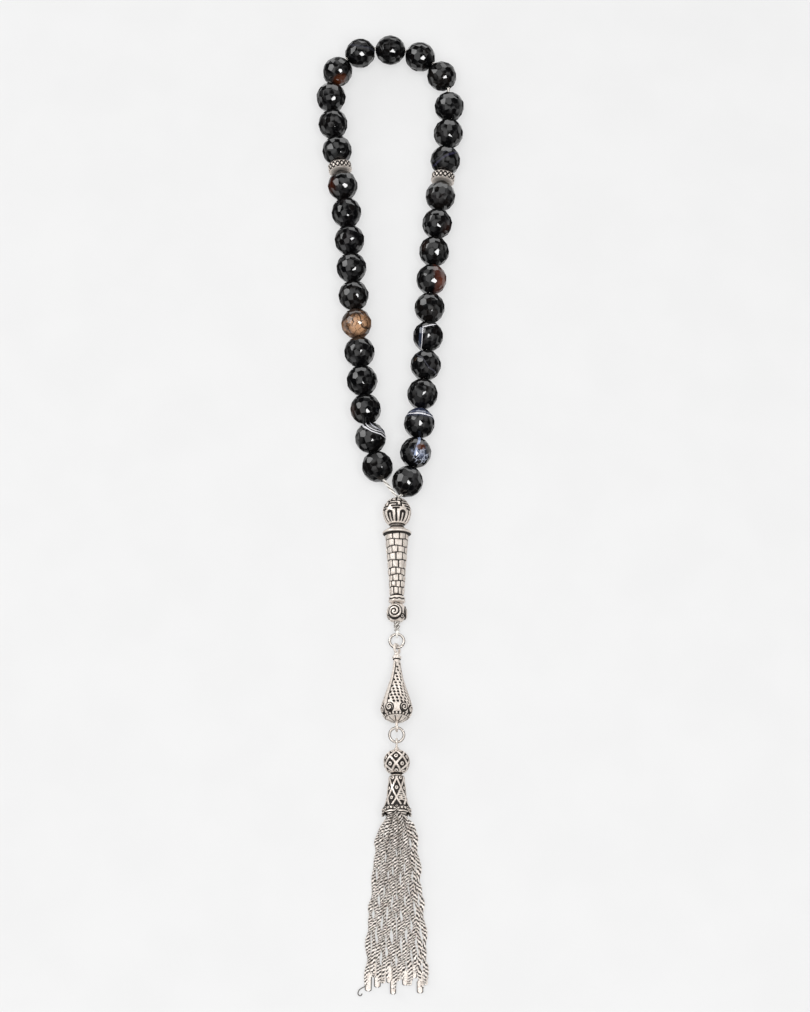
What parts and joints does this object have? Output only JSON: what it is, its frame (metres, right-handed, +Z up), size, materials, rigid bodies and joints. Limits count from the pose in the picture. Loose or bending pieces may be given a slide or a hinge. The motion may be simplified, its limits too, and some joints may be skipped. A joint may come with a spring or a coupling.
{
  "type": "misbaha prayer beads",
  "caption": "Misbaha: faceted black agate beads strung in a loop with silver spacers, an imame, a drop charm and a chain tassel, lying flat.",
  "frame": {"origin": "middle of the part's outline, on the flat surface that it lies on", "axes": "+Z up from the surface, +Y from the tassel towards the top of the bead loop"},
  "size_m": [0.0484, 0.3139, 0.0097],
  "materials": {
    "agate_black": "polished faceted black agate with a few pale bands",
    "agate_tan": "polished faceted tan agate with dark veins",
    "agate_brown": "polished faceted black agate with red-brown patches",
    "silver": "antique silver-plated casting with dark recesses",
    "chain": "bright twisted flat chain with fine diamond-cut hatching",
    "thread": "white braided nylon thread"
  },
  "bodies": {
    "loop": {"loop_cord": "thread"},
    "bead_01": {"bead_01": "agate_black"},
    "bead_02": {"bead_02": "agate_black"},
    "bead_03": {"bead_03": "agate_black"},
    "bead_04": {"bead_04": "agate_black"},
    "bead_05": {"bead_05": "agate_black"},
    "bead_06": {"bead_06": "agate_tan"},
    "bead_07": {"bead_07": "agate_black"},
    "bead_08": {"bead_08": "agate_black"},
    "bead_09": {"bead_09": "agate_black"},
    "bead_10": {"bead_10": "agate_black"},
    "bead_11": {"bead_11": "agate_black"},
    "bead_12": {"bead_12": "agate_black"},
    "bead_13": {"bead_13": "agate_black"},
    "bead_14": {"bead_14": "agate_black"},
    "bead_15": {"bead_15": "agate_brown"},
    "bead_16": {"bead_16": "agate_black"},
    "bead_17": {"bead_17": "agate_black"},
    "bead_18": {"bead_18": "agate_black"},
    "bead_19": {"bead_19": "agate_black"},
    "bead_20": {"bead_20": "agate_black"},
    "bead_21": {"bead_21": "agate_black"},
    "bead_22": {"bead_22": "agate_black"},
    "bead_23": {"bead_23": "agate_black"},
    "bead_24": {"bead_24": "agate_black"},
    "bead_25": {"bead_25": "agate_black"},
    "bead_26": {"bead_26": "agate_brown"},
    "bead_27": {"bead_27": "agate_black"},
    "bead_28": {"bead_28": "agate_black"},
    "bead_29": {"bead_29": "agate_black"},
    "bead_30": {"bead_30": "agate_black"},
    "bead_31": {"bead_31": "agate_black"},
    "bead_32": {"bead_32": "agate_black"},
    "bead_33": {"bead_33": "agate_black"},
    "spacer_left": {"spacer_left": "silver"},
    "spacer_right": {"spacer_right": "silver"},
    "imame": {"imame_tower": "silver", "tail_cord": "thread"},
    "imame_ball": {"imame_ball": "silver"},
    "scroll_bead": {"scroll_bead": "silver"},
    "upper_ring": {"upper_ring": "silver"},
    "drop": {"drop_charm": "silver"},
    "lower_ring": {"lower_ring": "silver"},
    "tassel_head": {"tassel_pin": "silver", "strand_roots": "chain"},
    "filigree_ball": {"filigree_ball": "silver"},
    "tassel_cap": {"tassel_cap": "silver"},
    "strand_01": {"strand_01": "chain"},
    "strand_02": {"strand_02": "chain"},
    "strand_03": {"strand_03": "chain"},
    "strand_04": {"strand_04": "chain"},
    "strand_05": {"strand_05": "chain"},
    "strand_06": {"strand_06": "chain"},
    "strand_07": {"strand_07": "chain"},
    "strand_08": {"strand_08": "chain"},
    "strand_09": {"strand_09": "chain"},
    "strand_10": {"strand_10": "chain"},
    "strand_11": {"strand_11": "chain"},
    "strand_12": {"strand_12": "chain"}
  },
  "joints": [
    {"name": "imame_swing", "type": "hinge", "parent": "loop", "child": "imame", "pos_m": [0.0025, -0.005, 0.00513], "axis": [0, 0, 1], "range_deg": [-50, 20]},
    {"name": "upper_ring_lift", "type": "hinge", "parent": "imame", "child": "upper_ring", "pos_m": [0.0025, -0.0484, 0.0022], "axis": [-1, 0, 0], "range_deg": [0, 90]},
    {"name": "drop_swing", "type": "hinge", "parent": "upper_ring", "child": "drop", "pos_m": [0.0025, -0.05055, 0.0022], "axis": [0, 0, 1], "range_deg": [-45, 45]},
    {"name": "lower_ring_lift", "type": "hinge", "parent": "drop", "child": "lower_ring", "pos_m": [0.0025, -0.07857, 0.00545], "axis": [-1, 0, 0], "range_deg": [0, 90]},
    {"name": "tassel_swing", "type": "hinge", "parent": "lower_ring", "child": "tassel_head", "pos_m": [0.0025, -0.08057, 0.00465], "axis": [0, 0, 1], "range_deg": [-40, 40]},
    {"name": "strand_12_fan", "type": "hinge", "parent": "tassel_head", "child": "strand_12", "pos_m": [0.0045, -0.10346, 0.00523], "axis": [0, 0, 1], "range_deg": [0, 12]},
    {"name": "tassel_cap_spin", "type": "hinge", "parent": "tassel_head", "child": "tassel_cap", "pos_m": [0.0025, -0.08296, 0.00374], "axis": [0, -0.9998, 0.0187], "continuous": true},
    {"name": "filigree_ball_spin", "type": "hinge", "parent": "tassel_head", "child": "filigree_ball", "pos_m": [0.0025, -0.08296, 0.00374], "axis": [0, -0.9998, 0.0187], "continuous": true},
    {"name": "imame_ball_spin", "type": "hinge", "parent": "imame", "child": "imame_ball", "pos_m": [0.0025, -0.005, 0.00513], "axis": [0, -0.9985, -0.0547], "continuous": true},
    {"name": "scroll_bead_spin", "type": "hinge", "parent": "imame", "child": "scroll_bead", "pos_m": [0.0025, -0.005, 0.00513], "axis": [0, -0.9985, -0.0547], "continuous": true},
    {"name": "bead_20_slide", "type": "slide", "parent": "loop", "child": "bead_20", "axis": [-0.0951, 0.9955, 0], "range_m": [0, 0.0013]},
    {"name": "spacer_left_spin", "type": "hinge", "parent": "loop", "child": "spacer_left", "pos_m": [-0.01608, 0.1086, 0.00487], "axis": [-0.149, 0.9888, 0], "continuous": true},
    {"name": "spacer_right_spin", "type": "hinge", "parent": "loop", "child": "spacer_right", "pos_m": [0.01725, 0.10486, 0.00487], "axis": [-0.1298, -0.9915, 0], "continuous": true},
    {"name": "bead_01_spin", "type": "hinge", "parent": "loop", "child": "bead_01", "pos_m": [-0.00351, 0.00504, 0.00487], "axis": [-0.3877, 0.9218, 0], "continuous": true},
    {"name": "bead_02_spin", "type": "hinge", "parent": "loop", "child": "bead_02", "pos_m": [-0.00574, 0.01458, 0.00487], "axis": [-0.194, 0.981, 0], "continuous": true},
    {"name": "bead_03_spin", "type": "hinge", "parent": "loop", "child": "bead_03", "pos_m": [-0.00731, 0.02425, 0.00487], "axis": [-0.1413, 0.99, 0], "continuous": true},
    {"name": "bead_04_spin", "type": "hinge", "parent": "loop", "child": "bead_04", "pos_m": [-0.0085, 0.03398, 0.00487], "axis": [-0.1053, 0.9944, 0], "continuous": true},
    {"name": "bead_05_spin", "type": "hinge", "parent": "loop", "child": "bead_05", "pos_m": [-0.00938, 0.04374, 0.00487], "axis": [-0.0956, 0.9954, 0], "continuous": true},
    {"name": "bead_06_spin", "type": "hinge", "parent": "loop", "child": "bead_06", "pos_m": [-0.01038, 0.05349, 0.00487], "axis": [-0.1003, 0.995, 0], "continuous": true},
    {"name": "bead_07_spin", "type": "hinge", "parent": "loop", "child": "bead_07", "pos_m": [-0.01134, 0.06324, 0.00487], "axis": [-0.0873, 0.9962, 0], "continuous": true},
    {"name": "bead_08_spin", "type": "hinge", "parent": "loop", "child": "bead_08", "pos_m": [-0.01209, 0.07301, 0.00487], "axis": [-0.074, 0.9973, 0], "continuous": true},
    {"name": "bead_09_spin", "type": "hinge", "parent": "loop", "child": "bead_09", "pos_m": [-0.01279, 0.08279, 0.00487], "axis": [-0.0897, 0.996, 0], "continuous": true},
    {"name": "bead_10_spin", "type": "hinge", "parent": "loop", "child": "bead_10", "pos_m": [-0.01385, 0.09253, 0.00487], "axis": [-0.1188, 0.9929, 0], "continuous": true},
    {"name": "bead_11_spin", "type": "hinge", "parent": "loop", "child": "bead_11", "pos_m": [-0.01512, 0.10225, 0.00487], "axis": [-0.1409, 0.99, 0], "continuous": true},
    {"name": "bead_12_spin", "type": "hinge", "parent": "loop", "child": "bead_12", "pos_m": [-0.01704, 0.11496, 0.00487], "axis": [-0.1474, 0.9891, 0], "continuous": true},
    {"name": "bead_13_spin", "type": "hinge", "parent": "loop", "child": "bead_13", "pos_m": [-0.01846, 0.12465, 0.00487], "axis": [-0.111, 0.9938, 0], "continuous": true},
    {"name": "bead_14_spin", "type": "hinge", "parent": "loop", "child": "bead_14", "pos_m": [-0.01921, 0.13442, 0.00487], "axis": [0.0665, 0.9978, 0], "continuous": true},
    {"name": "bead_15_spin", "type": "hinge", "parent": "loop", "child": "bead_15", "pos_m": [-0.01717, 0.14401, 0.00487], "axis": [0.4961, 0.8682, 0], "continuous": true},
    {"name": "bead_16_spin", "type": "hinge", "parent": "loop", "child": "bead_16", "pos_m": [-0.00979, 0.15091, 0.00487], "axis": [0.906, 0.4233, 0], "continuous": true},
    {"name": "bead_17_spin", "type": "hinge", "parent": "loop", "child": "bead_17", "pos_m": [0.00023, 0.15214, 0.00487], "axis": [0.9978, -0.0664, 0], "continuous": true},
    {"name": "bead_18_spin", "type": "hinge", "parent": "loop", "child": "bead_18", "pos_m": [0.01, 0.14959, 0.00487], "axis": [0.865, -0.5018, 0], "continuous": true},
    {"name": "bead_19_spin", "type": "hinge", "parent": "loop", "child": "bead_19", "pos_m": [0.01707, 0.14237, 0.00487], "axis": [0.4546, -0.8907, 0], "continuous": true},
    {"name": "bead_21_spin", "type": "hinge", "parent": "loop", "child": "bead_21", "pos_m": [0.0191, 0.12113, 0.00487], "axis": [-0.0704, -0.9975, 0], "continuous": true},
    {"name": "bead_22_spin", "type": "hinge", "parent": "loop", "child": "bead_22", "pos_m": [0.01809, 0.11128, 0.00487], "axis": [-0.1179, -0.993, 0], "continuous": true},
    {"name": "bead_23_spin", "type": "hinge", "parent": "loop", "child": "bead_23", "pos_m": [0.01641, 0.09844, 0.00487], "axis": [-0.122, -0.9925, 0], "continuous": true},
    {"name": "bead_24_spin", "type": "hinge", "parent": "loop", "child": "bead_24", "pos_m": [0.0153, 0.0886, 0.00487], "axis": [-0.1072, -0.9942, 0], "continuous": true},
    {"name": "bead_25_spin", "type": "hinge", "parent": "loop", "child": "bead_25", "pos_m": [0.01428, 0.07876, 0.00487], "axis": [-0.0951, -0.9955, 0], "continuous": true},
    {"name": "bead_26_spin", "type": "hinge", "parent": "loop", "child": "bead_26", "pos_m": [0.01341, 0.06889, 0.00487], "axis": [-0.0742, -0.9972, 0], "continuous": true},
    {"name": "bead_27_spin", "type": "hinge", "parent": "loop", "child": "bead_27", "pos_m": [0.01281, 0.05901, 0.00487], "axis": [-0.0572, -0.9984, 0], "continuous": true},
    {"name": "bead_28_spin", "type": "hinge", "parent": "loop", "child": "bead_28", "pos_m": [0.01228, 0.04913, 0.00487], "axis": [-0.0661, -0.9978, 0], "continuous": true},
    {"name": "bead_29_spin", "type": "hinge", "parent": "loop", "child": "bead_29", "pos_m": [0.01151, 0.03926, 0.00487], "axis": [-0.0909, -0.9959, 0], "continuous": true},
    {"name": "bead_30_spin", "type": "hinge", "parent": "loop", "child": "bead_30", "pos_m": [0.01048, 0.02941, 0.00487], "axis": [-0.1047, -0.9945, 0], "continuous": true},
    {"name": "bead_31_spin", "type": "hinge", "parent": "loop", "child": "bead_31", "pos_m": [0.00943, 0.01957, 0.00487], "axis": [-0.1113, -0.9938, 0], "continuous": true},
    {"name": "bead_32_spin", "type": "hinge", "parent": "loop", "child": "bead_32", "pos_m": [0.00828, 0.00973, 0.00487], "axis": [-0.1851, -0.9827, 0], "continuous": true},
    {"name": "bead_33_spin", "type": "hinge", "parent": "loop", "child": "bead_33", "pos_m": [0.00578, 0.00016, 0.00487], "axis": [-0.3652, -0.9309, 0], "continuous": true},
    {"name": "strand_01_fan", "type": "hinge", "parent": "tassel_head", "child": "strand_01", "pos_m": [0.0005, -0.10346, 0.00303], "axis": [0, 0, 1], "range_deg": [-12, 0]},
    {"name": "strand_02_fan", "type": "hinge", "parent": "tassel_head", "child": "strand_02", "pos_m": [0.00086, -0.10346, 0.00413], "axis": [0, 0, 1], "range_deg": [-9.82, 0]},
    {"name": "strand_03_fan", "type": "hinge", "parent": "tassel_head", "child": "strand_03", "pos_m": [0.00123, -0.10346, 0.00523], "axis": [0, 0, 1], "range_deg": [-7.64, 0]},
    {"name": "strand_04_fan", "type": "hinge", "parent": "tassel_head", "child": "strand_04", "pos_m": [0.00159, -0.10346, 0.00303], "axis": [0, 0, 1], "range_deg": [-5.46, 0]},
    {"name": "strand_05_fan", "type": "hinge", "parent": "tassel_head", "child": "strand_05", "pos_m": [0.00195, -0.10346, 0.00413], "axis": [0, 0, 1], "range_deg": [-3.27, 0]},
    {"name": "strand_06_fan", "type": "hinge", "parent": "tassel_head", "child": "strand_06", "pos_m": [0.00232, -0.10346, 0.00523], "axis": [0, 0, 1], "range_deg": [-1.09, 0]},
    {"name": "strand_07_fan", "type": "hinge", "parent": "tassel_head", "child": "strand_07", "pos_m": [0.00268, -0.10346, 0.00303], "axis": [0, 0, 1], "range_deg": [0, 1.09]},
    {"name": "strand_08_fan", "type": "hinge", "parent": "tassel_head", "child": "strand_08", "pos_m": [0.00305, -0.10346, 0.00413], "axis": [0, 0, 1], "range_deg": [0, 3.27]},
    {"name": "strand_09_fan", "type": "hinge", "parent": "tassel_head", "child": "strand_09", "pos_m": [0.00341, -0.10346, 0.00523], "axis": [0, 0, 1], "range_deg": [0, 5.46]},
    {"name": "strand_10_fan", "type": "hinge", "parent": "tassel_head", "child": "strand_10", "pos_m": [0.00377, -0.10346, 0.00303], "axis": [0, 0, 1], "range_deg": [0, 7.64]},
    {"name": "strand_11_fan", "type": "hinge", "parent": "tassel_head", "child": "strand_11", "pos_m": [0.00414, -0.10346, 0.00413], "axis": [0, 0, 1], "range_deg": [0, 9.82]}
  ],
  "couplings": [
    {"joint": "strand_01_fan", "follows": "strand_12_fan", "ratio": -1},
    {"joint": "strand_02_fan", "follows": "strand_12_fan", "ratio": -0.81818},
    {"joint": "strand_03_fan", "follows": "strand_12_fan", "ratio": -0.63636},
    {"joint": "strand_04_fan", "follows": "strand_12_fan", "ratio": -0.45455},
    {"joint": "strand_05_fan", "follows": "strand_12_fan", "ratio": -0.27273},
    {"joint": "strand_06_fan", "follows": "strand_12_fan", "ratio": -0.090909},
    {"joint": "strand_07_fan", "follows": "strand_12_fan", "ratio": 0.090909},
    {"joint": "strand_08_fan", "follows": "strand_12_fan", "ratio": 0.27273},
    {"joint": "strand_09_fan", "follows": "strand_12_fan", "ratio": 0.45455},
    {"joint": "strand_10_fan", "follows": "strand_12_fan", "ratio": 0.63636},
    {"joint": "strand_11_fan", "follows": "strand_12_fan", "ratio": 0.81818}
  ]
}
